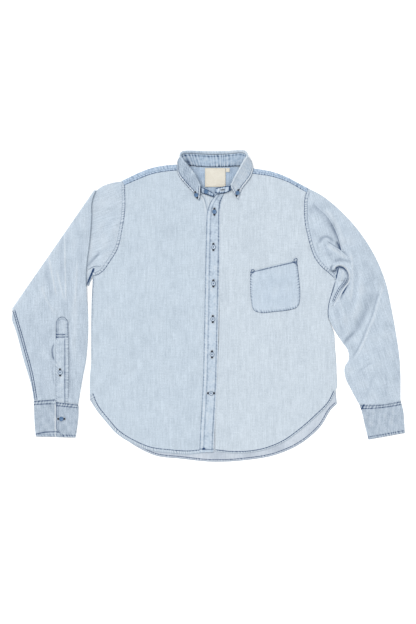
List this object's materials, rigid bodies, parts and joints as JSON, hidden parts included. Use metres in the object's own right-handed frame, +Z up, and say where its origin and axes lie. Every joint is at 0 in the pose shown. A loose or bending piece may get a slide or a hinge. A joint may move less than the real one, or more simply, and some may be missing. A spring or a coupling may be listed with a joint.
{
  "type": "denim shirt",
  "caption": "Long-sleeved denim shirt with a button-down collar and a chest pocket, buttoned up and laid flat on its back, with the right sleeve folded over.",
  "frame": {"origin": "centre of the laid shirt's bounding box, on the surface that it lies on", "axes": "+X to the wearer's left, +Y towards the collar, +Z up from the surface"},
  "size_m": [0.9812, 0.7777, 0.0254],
  "materials": {
    "body_denim": "light-washed blue denim with a slubby warp and puckered seams",
    "sleeve_denim": "light-washed blue denim, a little greyer",
    "yoke_denim": "light-washed blue denim, its inside a little darker",
    "collar_denim": "light-washed blue denim, worn pale along its edges",
    "button_plastic": "mottled mid-blue, softly shiny",
    "label_cotton": "bare cream cotton"
  },
  "bodies": {
    "root": {"back_panel": "body_denim", "front_right_panel": "body_denim", "front_left_panel": "body_denim", "front_placket": "body_denim", "pocket": "body_denim", "yoke": "yoke_denim", "sleeve_left": "sleeve_denim", "sleeve_right": "sleeve_denim", "cuff_left": "sleeve_denim", "cuff_right": "sleeve_denim", "sleeve_placket_right": "sleeve_denim", "collar_stand": "collar_denim", "collar": "collar_denim", "neck_label": "label_cotton", "size_tag": "label_cotton", "front_button_1": "button_plastic", "front_button_2": "button_plastic", "front_button_3": "button_plastic", "front_button_4": "button_plastic", "front_button_5": "button_plastic", "front_button_6": "button_plastic", "collar_button_right": "button_plastic", "collar_button_left": "button_plastic", "stand_button": "button_plastic", "cuff_button_right": "button_plastic", "sleeve_placket_button_right": "button_plastic"}
  },
  "joints": []
}
